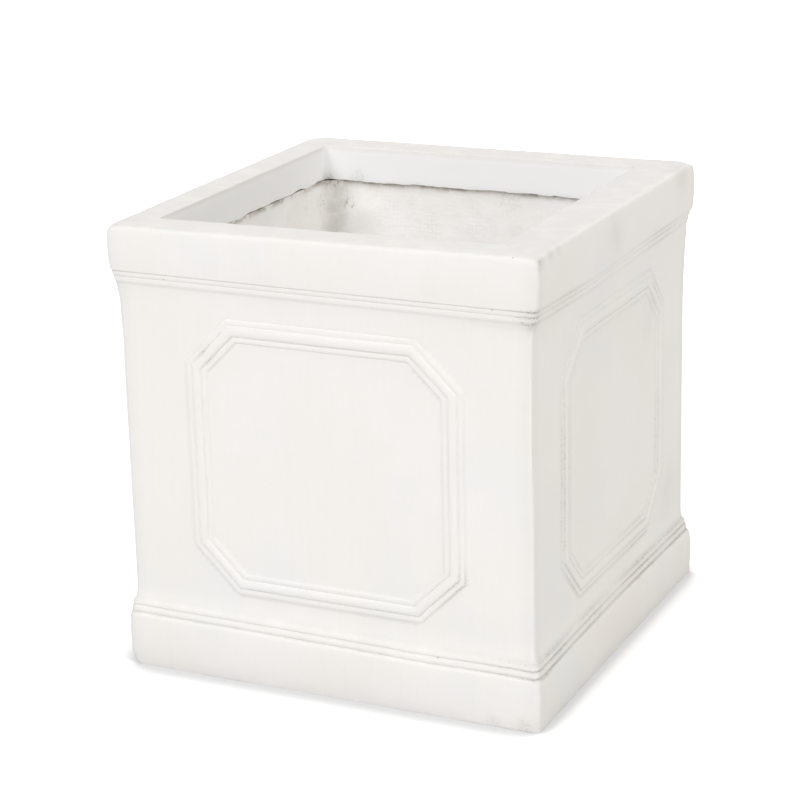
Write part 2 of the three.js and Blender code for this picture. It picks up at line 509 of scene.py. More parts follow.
@dataclass(frozen=True)
class LimewashedFacing:
    """Fibre cement cast against a smooth mould, washed white.

    It reads as a matt, faintly warm white, with cooler grey where the wash wore thin on edges and along
    the foot, which is partly painted shade that dims the rim's top edge and darkens the foot, antique grey
    left in the grooves and deepened there with painted shade, a whiter inside to the collar that is partly
    painted light, and a scatter of tiny air pits.
    """

    white: str = "F2EFED"
    straw: str = "F0EDE9"
    haze: str = "EDEDEC"
    cool: str = "E3E1DF"
    # the whiter inside of the collar: partly a fresher wash, partly painted light
    fresh_and_lit: str = "FCFCFC"
    # antique wash colour, also used for painted groove shade
    antique_and_shade: str = "A5A29A"
    soot: str = "6F6B64"
    pit: str = "8F8A81"
    roughness: float = 0.88
    mottle_size: float = 120 * MM
    patch_size: float = 24 * MM
    pit_pitch: float = 9 * MM
    speck_size: float = 1.8 * MM
    stroke: tuple[float, float] = (4 * MM, 45 * MM)  # across and along the brush marks
    grain_size: float = 1.6 * MM  # the real grit is half this, and too fine to show

    def build(self) -> Material:
        """Makes the node material.

        Returns:
            The material, which reads the stored weights of the groove wash with its painted shade, of wear with
            painted shade, of grime, and of the whiter inside with its painted light.
        """
        material, tree, place = start_material("limewashed_fibre_cement")
        wash, worn, grime, sheltered = weights(tree, "wash", "worn", "grime", "sheltered")
        mottle = noise(tree, place, self.mottle_size, 3.0)
        elsewhere = add_node(tree, "Mapping", Vector=place, Location=(0.37, 0.19, 0.23)).outputs[0]
        hazy = noise(tree, elsewhere, self.mottle_size, 3.0)
        patches = noise(tree, place, self.patch_size, 4.0)
        across, along = self.stroke
        brushed = add_node(tree, "Mapping", Vector=place, Scale=(1, 1, across / along)).outputs[0]
        strokes = noise(tree, brushed, across, 3.0)

        # cooler grey of wear, partly painted shade that dims the rim's top edge and darkens the foot
        thinned_and_shaded = product(tree, worn, total(tree, product(tree, ramp(tree, patches, 0.25, 0.6), 0.45), 0.4))
        # antique wash in the grooves, partly painted groove shade
        kept = product(tree, wash, total(tree, product(tree, ramp(tree, patches, 0.2, 0.62), 0.7), 0.3))
        specks = ramp(tree, noise(tree, place, self.speck_size, 4.0), 0.5, 0.66)
        pits = air_pits(tree, place, self.pit_pitch, 0.11, 0.06)
        tint = colour_layers(
            tree,
            self.white,
            (ramp(tree, mottle, 0.35, 0.7), self.straw),
            (ramp(tree, hazy, 0.48, 0.75), self.haze),
            (product(tree, ramp(tree, strokes, 0.4, 0.75), 0.06), self.cool),
            (thinned_and_shaded, self.cool),
            # whiter inside the collar: partly a fresher wash and partly painted light that brightens the recess
            (sheltered, self.fresh_and_lit),
            (kept, self.antique_and_shade),
            (product(tree, grime, total(tree, product(tree, specks, 0.4), 0.22)), self.soot),
            (product(tree, pits, 0.5), self.pit),
        )

        grain = noise(tree, place, self.grain_size, 2.0)
        height = total(tree, product(tree, grain, 0.5), product(tree, pits, -1.2))
        height = total(tree, height, product(tree, patches, 1.6))
        height = total(tree, height, product(tree, product(tree, grime, specks), -2.0))
        bump = add_node(tree, "Bump", Height=height, Distance=0.35 * MM, Strength=0.5).outputs[0]
        values = {"Roughness": self.roughness, "Specular_IOR_Level": 0.3}
        return finish_material(material, Base_Color=tint, Normal=bump, **values)


@dataclass(frozen=True)
class HandLaidBacking:
    """Fibre cement pressed on by hand over glass mesh and left as it set.

    It reads as a rougher white than the facing, with the print of the mesh in places, soft drag marks,
    a few pits, a dark line under the collar that is partly dirt and partly painted shade, and a darker
    grey brown where it nears a corner.
    """

    name: str = "hand_laid_fibre_cement"
    white: str = "FCFBFB"
    warm: str = "F9F6F3"
    grey: str = "EBE9E7"
    corner_grey_brown: str = "D9D7D3"
    # the dark line under the collar: partly dirt, partly painted shade of the collar's overhang
    dirt_and_shade: str = "9A9082"
    pit: str = "8A8275"
    roughness: float = 0.95
    pit_pitch: float = 9 * MM
    mesh_pitch: float = 4.2 * MM
    crazed: bool = False
    crack_pitch: float = 6 * MM

    def mesh_print(
        self, tree: Tree, place: Socket, unrolled: Socket
    ) -> Socket:
        """The squares that the mesh left where it lay close to the surface.

        Args:
            tree: the node tree.
            place: Object coordinates.
            unrolled: coordinates along the wall and up.

        Returns:
            The print's socket.
        """
        bands = [
            add_node(
                tree,
                "TexWave",
                {"bands_direction": direction},
                Vector=unrolled,
                Scale=math.tau / 20 / self.mesh_pitch,
                Distortion=4.0,
                Detail_Scale=0.3,
            ).outputs["Fac"]
            for direction in "XY"
        ]
        close = ramp(tree, noise(tree, place, 40 * MM, 3.0), 0.48, 0.66)
        return product(tree, ramp(tree, greater(tree, *bands), 0.55, 1.0), close)

    def crust_marks(self, tree: Tree, place: Socket) -> Socket:
        """Fine cracks in a sheet, or the upright streaks and crumbly holes of a packed corner.

        Args:
            tree: the node tree.
            place: Object coordinates.

        Returns:
            The marks' socket.
        """
        if self.crazed:
            settings = {"feature": "DISTANCE_TO_EDGE"}
            cracks = add_node(tree, "TexVoronoi", settings, Vector=place, Scale=1 / self.crack_pitch)
            return product(tree, ramp(tree, cracks.outputs["Distance"], 0.06, 0.0), 0.6)
        upright = add_node(tree, "Mapping", Vector=place, Scale=(1, 1, 0.45)).outputs[0]
        return ramp(tree, noise(tree, upright, 3 * MM, 3.0), 0.54, 0.62)

    def build(self) -> Material:
        """Makes the node material.

        Returns:
            The material, which reads the weights fold, crust and around, and the weight of the dark line under the
            collar, which is partly dirt and partly painted shade.
        """
        material, tree, place = start_material(self.name)
        fold, crust, crevice, around = weights(tree, "fold", "crust", "crevice", "around")
        up = add_node(tree, "SeparateXYZ", Vector=place).outputs["Z"]
        unrolled = add_node(tree, "CombineXYZ", X=around, Y=up).outputs[0]
        blotches = noise(tree, place, 45 * MM, 4.0)
        drag = noise(tree, add_node(tree, "Mapping", Vector=place, Scale=(1, 1, 1.7)).outputs[0], 14 * MM, 3.0)
        fine = noise(tree, place, 2.5 * MM, 2.0)
        print_ = self.mesh_print(tree, place, unrolled)

        patches = noise(tree, place, 20 * MM, 3.0)
        # darker grey brown towards each inner corner
        corner_grey_brown = product(tree, fold, total(tree, product(tree, ramp(tree, patches, 0.35, 0.6), 0.6), 0.3))
        pits = product(tree, air_pits(tree, place, self.pit_pitch, 0.14, 0.07), 0.6)
        marks = greater(tree, pits, product(tree, crust, self.crust_marks(tree, place)))
        # painted shade: the dark line under the collar is partly dirt in the gap and partly painted shade under the
        # collar's overhang
        smear_and_shade = product(tree, crevice, total(tree, product(tree, ramp(tree, drag, 0.42, 0.6), 0.6), 0.2))
        tint = colour_layers(
            tree,
            self.white,
            (ramp(tree, blotches, 0.35, 0.65), self.warm),
            (product(tree, ramp(tree, drag, 0.5, 0.8), 0.35), self.grey),
            (product(tree, print_, 0.2), self.grey),
            (corner_grey_brown, self.corner_grey_brown),
            (product(tree, marks, 0.8), self.pit),
            (smear_and_shade, self.dirt_and_shade),
        )

        height = total(tree, total(tree, drag, product(tree, fine, 0.4)), product(tree, print_, 0.18))
        height = total(tree, height, product(tree, marks, -1.5))
        bump = add_node(tree, "Bump", Height=height, Distance=1.0 * MM, Strength=0.6).outputs[0]
        values = {"Roughness": self.roughness, "Specular_IOR_Level": 0.25}
        return finish_material(material, Base_Color=tint, Normal=bump, **values)


@dataclass(frozen=True)
class TrowelledFloor:
    """Fibre cement trowelled off in the bottom of the planter.

    It reads as a greyer white than the walls, with the broad arcs of the trowel and scattered grit.
    """

    white: str = "F8F6F3"
    grey: str = "ECE9E4"
    grit: str = "B9B4AA"
    roughness: float = 0.93
    sweep: float = 38 * MM
    grit_size: float = 4 * MM

    def build(self) -> Material:
        """Makes the node material.

        Returns:
            The material.
        """
        material, tree, place = start_material("trowelled_fibre_cement")
        arcs = add_node(
            tree,
            "TexWave",
            {"wave_type": "RINGS", "rings_direction": "Z"},
            Vector=add_node(tree, "Mapping", Vector=place, Location=(0.21, 0.13, 0)).outputs[0],
            Scale=0.3 / self.sweep,
            Distortion=6.0,
            Detail=3.0,
        ).outputs["Fac"]
        blotches = noise(tree, place, 55 * MM, 4.0)
        grit = noise(tree, place, self.grit_size, 2.0)
        gritty = product(tree, ramp(tree, grit, 0.62, 0.75), 0.5)
        tint = colour_layers(tree, self.white, (ramp(tree, blotches, 0.35, 0.7), self.grey), (gritty, self.grit))
        height = total(tree, product(tree, arcs, 0.6), product(tree, grit, 0.5))
        bump = add_node(tree, "Bump", Height=height, Distance=0.9 * MM, Strength=0.6).outputs[0]
        values = {"Roughness": self.roughness, "Specular_IOR_Level": 0.25}
        return finish_material(material, Base_Color=tint, Normal=bump, **values)


# ---------------------------------------------------------------- the moulded facing


@dataclass
class Section:
    """Points of a moulding's section: how far out from the planter's axis, and how high."""

    points: list[Vector] = field(default_factory=list)

    def start(self, out: float, up: float) -> None:
        """Sets the first point."""
        self.points = [Vector((out, up))]

    def line(self, out: float, up: float, steps: int = 1) -> None:
        """Runs straight to a point, in some steps."""
        begin, end = self.points[-1], Vector((out, up))
        self.points += [begin.lerp(end, (i + 1) / steps) for i in range(steps)]

    def curve(self, handle: tuple[float, float], end: tuple[float, float], steps: int) -> None:
        """Runs along a quadratic curve.

        Args:
            handle: the curve's one handle.
            end: the end point.
            steps: how many points it takes.
        """
        begin, pull, finish = self.points[-1], Vector(handle), Vector(end)
        for i in range(1, steps + 1):
            t = i / steps
            self.points.append(begin.lerp(pull, t).lerp(pull.lerp(finish, t), t))

    def bead(self, out: float, up: float, swell: float, steps: int) -> None:
        """Runs over a round bead from groove to groove.

        Args:
            out: from this groove to the next, outwards.
            up: from this groove to the next, upwards.
            swell: the crest's height over the grooves.
            steps: how many points it takes.
        """
        begin = self.points[-1]
        end = begin + Vector((out, up))
        handle = Vector((up, -out)).normalized() * swell * 4 / 3
        rise, fall = begin + handle, end + handle
        for i in range(1, steps + 1):
            t = i / steps
            first, middle, last = begin.lerp(rise, t), rise.lerp(fall, t), fall.lerp(end, t)
            self.points.append(first.lerp(middle, t).lerp(middle.lerp(last, t), t))


@dataclass
class OctagonFrame:
    """The raised frame on a wall: a fillet, a torus and a small bead, with dark grooves between."""

    half_width: float = 131 * MM
    half_height: float = 126.55 * MM
    clip: float = 42 * MM
    centre_height: float = 207.55 * MM
    beads: tuple[tuple[float, float], ...] = ((5.4 * MM, 0.8 * MM), (9.4 * MM, 2.0 * MM), (5.6 * MM, 0.9 * MM))
    groove: float = 0.3 * MM
    steps: int = 6

    def profile(self) -> list[tuple[float, float]]:
        """The frame's section as distances in from its outer edge and heights off the wall."""
        section = Section()
        section.start(0.0, 0.0)
        for i, (width, swell) in enumerate(self.beads):
            drop = (0.0 if i == len(self.beads) - 1 else self.groove) - section.points[-1].y
            begin = section.points[-1]
            reach = swell * 4 / 3
            for k in range(1, self.steps + 1):
                t = k / self.steps
                u = begin.x + width * t * t * (3 - 2 * t)
                h = begin.y * (1 - t) ** 3 + 3 * reach * t * (1 - t) + (begin.y + drop) * t**3
                section.points.append(Vector((u, h)))
        return [tuple(p) for p in section.points]

    def inset_of(self, x: np.ndarray, z: np.ndarray) -> np.ndarray:
        """How far points of a wall lie inside the frame's outer edge.

        Args:
            x: distances along the wall from its middle.
            z: heights above the ground.

        Returns:
            The distances, below 0 outside the frame.
        """
        across, up = np.abs(x), np.abs(z - self.centre_height)
        corner = (self.half_width + self.half_height - self.clip - across - up) / math.sqrt(2)
        return np.minimum(np.minimum(self.half_width - across, self.half_height - up), corner)

    def grooves(self) -> list[float]:
        """Distances in from the outer edge at which the antique wash and its painted groove shade lie darkest."""
        places = [0.0]
        for width, _ in self.beads:
            places.append(places[-1] + width)
        return places


@dataclass
class CastFacing:
    """The outer layer of the casting: plinth, beads, coves, framed walls, rim and turned-in collar."""

    wall_half: float = 195 * MM
    corner_radius: float = 6 * MM
    corner_facets: int = 6
    facing_inner: float = -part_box("backing_front")[0].y
    height: float = cad_box[1].z
    plinth_half: float = cad_box[1].x
    rim_half: float = 201.7 * MM
    plinth_height: float = 50 * MM
    foot_inner: float = 170.5 * MM
    foot_round: float = 2 * MM
    plinth_shoulder: float = 6 * MM
    rim_depth: float = 45 * MM
    rim_edge_round: float = 5 * MM
    rim_tuck: float = 0.6 * MM
    band_crown: float = 0.6 * MM
    rim_bead_pitch: float = 5.2 * MM
    rim_bead_swells: tuple[float, float] = (0.45 * MM, 0.75 * MM)
    rim_bead_step: float = 1 * MM
    rim_cove_height: float = 21 * MM
    plinth_bead_pitch: float = 7 * MM
    plinth_bead_swell: float = 1.2 * MM
    plinth_bead_step: float = 1.3 * MM
    plinth_cove_height: float = 13.5 * MM
    cove_depth: float = 2.2 * MM
    collar_depth: float = 37 * MM
    collar_half: float = 163 * MM
    mouth_half: float = 161.5 * MM
    mouth_round: float = 2 * MM
    lip_round: float = 1.5 * MM
    floor_lift: float = 8 * MM
    grid: float = 4.2 * MM
    # How the wall flares out under the rim: heights in millimetres, and the shares of the widest flare.
    top_flare: tuple[tuple[float, ...], tuple[float, ...]] = (
        (295, 302, 312, 321, 331, 340, 350, 359, 369),
        (0, 0.16, 0.38, 0.53, 0.8, 0.97, 0.95, 0.55, 0),
    )
    # How far the front beads droop, and the share of the widest sag on the right: places and amounts.
    front_droop: tuple[tuple[float, ...], tuple[float, ...]] = (
        (-180, -120, -60, 0, 60, 90, 120, 150, 180),
        (0, 0.3, 0.6, 1.4, 1.8, 2.2, 1.3, 0, -0.7),
    )
    right_sag: tuple[tuple[float, ...], tuple[float, ...]] = (
        (-190, -150, -75, 0, 60, 190),
        (0.25, 0.5, 1, 0.75, 0.35, 0.25),
    )
    mouth_shift: float = 7.5 * MM
    frame_shift: float = 1.8 * MM
    octagon: OctagonFrame = field(default_factory=OctagonFrame)
    # Where dirt sits in the grooves: a point in millimetres, its reach and its strength.
    grimy_spots: Spots = (
        ((136, -195, 108), 24, 0.9),
        ((120, -195, 92), 14, 0.6),
        ((-111, -195, 300), 8, 0.8),
        ((197, -197, 362), 14, 0.9),
        ((200, -165, 52), 38, 0.9),
        ((200, -70, 52), 40, 0.55),
        ((200, 70, 52), 60, 0.8),
        ((200, 165, 52), 50, 0.7),
        ((197, -128, 200), 80, 0.45),
        ((197, -112, 92), 26, 0.6),
        ((197, 112, 318), 26, 0.5),
        ((197, 110, 160), 50, 0.4),
        ((200, 110, 362), 40, 0.45),
        ((200, -130, 362), 40, 0.4),
    )
    # Where the surface is smudged, and where it is pitted all over, given in the same way.
    smudged_spots: Spots = (
        ((202, -15, 394), 16, 0.12),
        ((202, 160, 408), 16, 0.16),
        ((197, 150, 105), 28, 0.10),
        ((197, 95, 290), 22, 0.08),
    )
    pitted_spots: Spots = (
        ((202, -193, 410), 6, 0.7),
        ((202, -170, 411), 5, 0.6),
        ((202, -152, 411), 4, 0.5),
        ((190, -202, 3), 9, 0.5),
        ((160, -202, 4), 6, 0.4),
        ((197, -197, 355), 6, 0.5),
        ((-161, 161, 379), 6, 0.9),
        ((-128, 162, 381), 9, 0.5),
    )

    @property
    def rim_bottom(self) -> float:
        """Height of the rim band's lower edge."""
        return self.height - self.rim_depth

    @property
    def rim_beads_bottom(self) -> float:
        """Height of the last groove under the rim."""
        return self.rim_bottom - 2 * self.rim_bead_pitch

    @property
    def wall_bottom(self) -> float:
        """Height where the lower cove meets the plain wall."""
        return self.plinth_height + 2 * self.plinth_bead_pitch + self.plinth_cove_height

    @property
    def wall_top(self) -> float:
        """Height where the plain wall meets the upper cove."""
        return self.rim_beads_bottom - self.rim_cove_height

    def section(self) -> list[Vector]:
        """The facing's section, from the foot up the outside, over the rim and down the inside."""
        path = Section()
        last_groove = self.wall_half + self.cove_depth
        first_groove = last_groove + 2 * self.plinth_bead_step
        plinth = self.plinth_half - self.band_crown
        rim = self.rim_half - self.band_crown
        shoulder = self.plinth_height - self.plinth_shoulder
        path.start(self.foot_inner, 0.0)
        path.line(plinth - self.foot_round, 0.0, 2)
        path.curve((plinth, 0.0), (plinth, self.foot_round), 4)
        path.curve((plinth + 2 * self.band_crown, self.plinth_height / 2), (plinth, shoulder), 9)
        path.curve((plinth, self.plinth_height), (first_groove, self.plinth_height), 4)
        for _ in range(2):
            path.bead(-self.plinth_bead_step, self.plinth_bead_pitch, self.plinth_bead_swell, 6)
        pull = 2 * self.plinth_cove_height / 3
        path.curve((self.wall_half, self.wall_bottom - pull), (self.wall_half, self.wall_bottom), 6)
        path.line(self.wall_half, self.wall_top)
        pull = 2 * self.rim_cove_height / 3
        path.curve((self.wall_half, self.wall_top + pull), (last_groove, self.rim_beads_bottom), 6)
        for swell in self.rim_bead_swells:
            path.bead(self.rim_bead_step, self.rim_bead_pitch, swell, 6)
        path.line(rim - self.rim_tuck, self.rim_bottom, 2)
        band_top = self.height - self.rim_edge_round
        path.curve((self.rim_half + self.band_crown, self.rim_bottom + self.rim_depth / 3), (rim, band_top), 10)
        path.curve((rim, self.height), (rim - self.rim_edge_round, self.height), 4)
        path.line(self.mouth_half + self.mouth_round, self.height, 7)
        path.curve((self.mouth_half, self.height), (self.mouth_half, self.height - self.mouth_round), 4)
        collar_bottom = self.height - self.collar_depth
        path.line(self.collar_half, collar_bottom + self.lip_round, 7)
        path.curve((self.collar_half, collar_bottom), (self.collar_half + self.lip_round, collar_bottom), 2)
        path.line(self.facing_inner, collar_bottom, 2)
        path.line(self.facing_inner, self.floor_lift)
        path.line(self.foot_inner, self.floor_lift)
        path.line(self.foot_inner, 0.0)
        return path.points

    def sweep(self) -> Piece:
        """Carries the section round a rounded square.

        Returns:
            The coarse, closed ring, in edit mode.
        """
        clear_selection()
        bpy.ops.mesh.primitive_plane_add(size=2 * self.wall_half)
        piece = bpy.context.object
        piece.name = piece.data.name = "cast_facing"
        open_mesh(piece)
        bpy.ops.mesh.bevel(offset=self.corner_radius, segments=self.corner_facets, affect="VERTICES")
        bpy.ops.mesh.delete(type="ONLY_FACE")
        select_all()
        here = Vector((self.wall_half, 0.0))
        for i, point in enumerate(self.section()):
            if i:
                bpy.ops.mesh.extrude_edges_move()
            bpy.ops.transform.translate(value=(0, 0, point.y - here.y))
            grow = point.x / here.x
            bpy.ops.transform.resize(value=(grow, grow, 1), center_override=(0, 0, 0))
            here = point
        select_all()
        bpy.ops.mesh.remove_doubles(threshold=0.01 * MM)
        bpy.ops.mesh.normals_make_consistent(inside=False)
        return piece

    def keep_front_quarter(self) -> None:
        """Cuts away, in edit mode, all but the front wall between the two diagonals."""
        for across in (1, -1):
            select_all()
            bpy.ops.mesh.bisect(plane_co=(0, 0, 0), plane_no=(across, 1, 0), clear_outer=True)

    def on_wall(self, point: Vector) -> bool:
        """Says whether a point lies on the front wall's plain face."""
        in_height = self.wall_bottom - MM / 10 < point.z < self.wall_top + MM / 10
        return in_height and abs(point.y + self.wall_half) < MM / 10

    def raise_frame(self, piece: Piece) -> None:
        """Draws the octagon on the front wall and insets it along the frame's section.

        Args:
            piece: the quarter, in edit mode.
        """
        frame_ = self.octagon
        middle = Vector((0, 0, frame_.centre_height))
        slant = frame_.half_width + frame_.half_height - frame_.clip
        for sign in (1, -1):
            lines = [(Vector((sign, 0, 0)), frame_.half_width), (Vector((0, 0, sign)), frame_.half_height)]
            lines += [(Vector((sign, 0, tilt)).normalized(), slant / math.sqrt(2)) for tilt in (1, -1)]
            for normal, distance in lines:
                pick(piece, Part.FACE, self.on_wall)
                bpy.ops.mesh.bisect(plane_co=middle + normal * distance, plane_no=normal)

        def within(point: Vector) -> bool:
            inset = frame_.inset_of(np.array(point.x), np.array(point.z))
            return self.on_wall(point) and float(inset) > -MM / 10

        pick(piece, Part.FACE, within)
        profile = frame_.profile()
        for (u0, h0), (u1, h1) in zip(profile, profile[1:]):
            bpy.ops.mesh.inset(thickness=u1 - u0, depth=h1 - h0, use_even_offset=True)

    def make_quarter(self, piece: Piece) -> None:
        """Turns the coarse ring to one finely divided wall.

        Args:
            piece: the ring, in edit mode.
        """
        self.keep_front_quarter()
        self.raise_frame(piece)
        count = int(self.plinth_half / self.grid)
        places = [i * self.grid for i in range(-count, count + 1)]
        bpy.ops.mesh.select_mode(type="FACE")
        cut_grid(piece, Vector((1, 0, 0)), places)
        rows = round((self.wall_top - self.wall_bottom) / self.grid)
        step = (self.wall_top - self.wall_bottom) / rows
        heights = [self.wall_bottom + i * step for i in range(1, rows)]
        tallest = max(swell for _, swell in self.octagon.beads) + MM

        def outside(point: Vector) -> bool:
            return -self.wall_half - tallest < point.y < -self.wall_half + 5 * MM

        def in_wall(point: Vector) -> bool:
            clear = self.wall_bottom - MM / 10 < point.z < self.wall_top + MM / 10
            return clear and (outside(point) or abs(point.x) > self.wall_half - 8 * MM)

        cut_grid(piece, Vector((0, 0, 1)), heights, in_wall)

    def repeat_quarter(self) -> None:
        """Copies the quarter, in edit mode, to the other three walls and joins them."""
        select_all()
        for _ in range(3):
            bpy.ops.mesh.duplicate()
            bpy.ops.transform.rotate(value=math.pi / 2, orient_axis="Z", center_override=(0, 0, 0))
        select_all()
        bpy.ops.mesh.remove_doubles(threshold=0.02 * MM)
        bpy.ops.mesh.normals_make_consistent(inside=False)

    def mark(self, piece: Piece) -> None:
        """Stores where the antique wash and painted groove shade collect, where the surface is greyed by wear and
        painted shade, and the groups that limit wear.

        Args:
            piece: the whole facing, in object mode, still true to its section.
        """
        x, y, z = coordinates(piece).T
        out = np.maximum(np.abs(x), np.abs(y))
        along = np.minimum(np.abs(x), np.abs(y))
        outside = out > self.wall_half - 1 * MM
        right = (x > np.abs(y)) & outside
        level_grooves = [
            (self.plinth_height, 0.16, 2.4 * MM, 1.5),
            (self.plinth_height + self.plinth_bead_pitch, 0.15, 2.4 * MM, 1.5),
            (self.plinth_height + 2 * self.plinth_bead_pitch, 0.12, 3.5 * MM, 0.8),
            (self.rim_bottom, 0.03, 1.2 * MM, 1.8),
            (self.rim_bottom - self.rim_bead_pitch, 0.03, 1.2 * MM, 1.8),
            (self.rim_beads_bottom, 0.02, 1.2 * MM, 1.8),
        ]
        wash, groove = np.zeros(len(x)), np.zeros(len(x))
        # antique wash in the grooves, deepened with painted shade, and more so on the shaded right wall
        for height, strength, reach, shade_on_right in level_grooves:
            line = bell(z - height, reach) * np.where(right, shade_on_right, 1.0)
            wash = np.maximum(wash, strength * line)
            groove = np.maximum(groove, bell(z - height, 1.8 * MM))
        hollow = outside & (out < self.plinth_half - 1.2 * MM)
        inset = self.octagon.inset_of(along, z)
        # the frame's grooves: a faint antique wash with painted shade, stronger on the shaded right wall
        for place in self.octagon.grooves():
            line = bell(inset - place, 1.4 * MM) * outside
            wash = np.maximum(wash, 0.035 * line * np.where(right, 1.8, 1.0))
            groove = np.maximum(groove, line)
        points = coordinates(piece)
        store_weight(piece, "wash", np.maximum(wash * hollow, near_spots(points, self.smudged_spots)))
        grime = near_spots(points, self.grimy_spots) * groove * hollow
        store_weight(piece, "grime", np.maximum(grime, near_spots(points, self.pitted_spots)))

        rim_edge = bell(np.minimum(0, self.rim_half - 4 * MM - out), 6 * MM)
        arris = bell(self.height - z, 5 * MM) * rim_edge
        # painted shade: the rim's rounded top edge is greyed to dim its highlight
        highlight_dimming = bell(self.height - z, 2.5 * MM) * rim_edge
        flat = (z > self.height - MM / 2) & (out < self.rim_half - self.rim_edge_round + MM)
        top = flat * np.where(y < -np.abs(x), 0.75, 1.0)
        # cooler grey along the foot, partly wear and partly painted shade towards the floor
        foot = bell(z, 9 * MM) * outside
        corner = bell(np.maximum(0, out - along - 3 * MM), 8 * MM) * outside
        store_weight(piece, "worn", np.clip(np.maximum.reduce([top, 0.5 * foot, 0.5 * corner, 0.4 * highlight_dimming]), 0, 1))
        inner_face = (out < self.collar_half + MM) & (z > self.height - self.collar_depth - MM)
        # the inside of the collar is whiter, partly a fresher wash and partly painted light that brightens the
        # recess
        store_weight(piece, "sheltered", slope(self.height - z, 1 * MM, 5 * MM) * inner_face)

        collar_bottom = self.height - self.collar_depth
        inner = out < self.facing_inner - 8 * MM
        lip = bell(z - collar_bottom, 6 * MM) * inner * (z > collar_bottom - MM)
        group_by_weight(piece, "lip", lip)
        group_by_weight(piece, "arris", np.clip(np.maximum(arris, foot), 0, 1))

    def level_rim(self, piece: Piece) -> None:
        """Lets the rim's top dip towards the front left, as the real one's does.

        Args:
            piece: the facing, in object mode.
        """
        dips = {(-1, -1): 4.5 * MM, (-1, 1): 2.0 * MM, (1, 1): 1.0 * MM, (1, -1): 0.0}
        middle = (self.rim_bottom + self.height) / 2
        clear_selection()
        bpy.ops.object.add(type="LATTICE", location=(0, 0, middle))
        cage = bpy.context.object
        cage.scale = (2 * self.rim_half, 2 * self.rim_half, self.rim_depth)
        cage.data.points_u = cage.data.points_v = cage.data.points_w = 2
        for axis in "uvw":
            setattr(cage.data, f"interpolation_type_{axis}", "KEY_LINEAR")
        for point in cage.data.points:
            if point.co.z > 0:
                corner = (int(math.copysign(1, point.co.x)), int(math.copysign(1, point.co.y)))
                point.co_deform.z -= dips[corner] / self.rim_depth
        above = coordinates(piece)[:, 2] > self.rim_bottom + MM / 10
        group_by_weight(piece, "rim", above.astype(float), 1)
        apply_modifier(piece, "LATTICE", object=cage, vertex_group="rim")
        bpy.data.objects.remove(cage)

    def settle(self, piece: Piece) -> None:
        """Lets the casting off its true section where the real one left its mould unevenly.

        Args:
            piece: the facing, in object mode.
        """
        x, y, z = coordinates(piece).T / MM
        out = np.maximum(np.abs(x), np.abs(y))
        outside = out > self.wall_half / MM - 1
        along = np.minimum(np.abs(x), np.abs(y))
        # The mouth sits left of the middle; the wall behind the collar and the rim's outer edge stay.
        reach = np.where(z > 405, 198, 181)
        mouth = np.clip((reach - out) / (reach - 165), 0, 1) * (z > 376)
        push(piece, mouth * (1 + 0.2 * x / 160), -self.mouth_shift, "X")
        # The ends of rim and foot are rounded off at the corners.
        corners = slope(along, 186, 195) * outside
        share = np.where((x > 0) & (y < 0), 0.5, 1.0)
        push(piece, corners * share * slope(z, 404, 414) ** 2, -2 * MM)
        push(piece, corners * (x < 0) * slope(-z, -14, 0) ** 2, 5 * MM, "X")
        # The wall flares out under the rim, and the front frame sits to the right.
        near_edge = bell(np.hypot(x - 195, y + 195), 60) * (z < 356)
        push(piece, np.interp(z, *self.top_flare) * outside * (1 - 0.75 * near_edge), 1.6 * MM)
        front = (y < -190) & (z > self.wall_bottom / MM) & (z < self.wall_top / MM)
        push(piece, np.interp(np.abs(x), (138, 186), (1, 0)) * front, self.frame_shift, "X")
        left = slope(-x, 100, 190) * np.interp(z, (44, 72), (1, 0)) * outside
        push(piece, left, 2.5 * MM, "X")
        # Each upright edge strays to one side or the other between some heights.
        near = slope(x, 140, 195) * slope(-y, 140, 195) * outside
        far_right = slope(x, 140, 195) * slope(y, 140, 195) * outside
        far_left = slope(-x, 150, 195) * outside
        for edge, heights, distance in (
            (near, (367, 373, 500, 600), 1.1),
            (near, (190, 240, 340, 352), -0.8),
            (far_right, (346, 354, 366, 370), -1.3),
            (far_right, (44, 50, 58, 76), -1.2),
            (far_right, (150, 200, 340, 352), -0.6),
            (far_left, (200, 240, 340, 352), 0.6),
        ):
            push(piece, edge * belt(z, *heights), distance * MM, "X")
        # The plinth's beads droop towards the corners, and the rim's sag on the right.
        diagonal = np.clip(x * np.abs(y) / 195**2, 0, 1)
        sunk = np.where(y < 0, 2.8, 3.6) * diagonal**2
        sunk = np.where(y < -190, sunk + np.interp(x, *self.front_droop), sunk)
        push(piece, np.clip(sunk / 4, 0, 1) * belt(z, 18, 44, 64, 79) * outside, -4 * MM, "Z")
        push(piece, belt(z, 55, 62, 65, 77) * outside, -2 * MM, "Z")
        sag = np.interp(y, *self.right_sag) * (x > np.abs(y) - 8)
        sag = np.maximum(sag, np.interp(x, (-100, 190), (0, 0.25)) * (y < -np.abs(x) + 8))
        push(piece, sag * belt(z, 345, 357, 370, 396) * outside, -3.8 * MM, "Z")

    def weather(self, piece: Piece) -> None:
        """Gives the facing the unevenness of its mould and of the hand that trimmed it.

        Args:
            piece: the facing, in object mode.
        """
        wear_by_noise(piece, Grain.SOFT, 120 * MM, 0.9 * MM, level=1.0)
        wear_by_noise(piece, Grain.SOFT, 28 * MM, 0.2 * MM, level=1.0, octaves=2)
        wear_by_noise(piece, Grain.SOFT, 9 * MM, 0.9 * MM, level=0.75, group="arris", octaves=2)
        wear_by_noise(piece, Grain.SOFT, 24 * MM, 3.6 * MM, "Z", level=0.55, group="lip", octaves=2)
        wear_by_noise(piece, Grain.SOFT, 6 * MM, 1.4 * MM, "Z", level=0.5, group="lip", octaves=2)
        push(piece, np.interp(coordinates(piece)[:, 2], (1.0 * MM, 1.8 * MM), (1, 0)), -1.5 * MM, "Z")

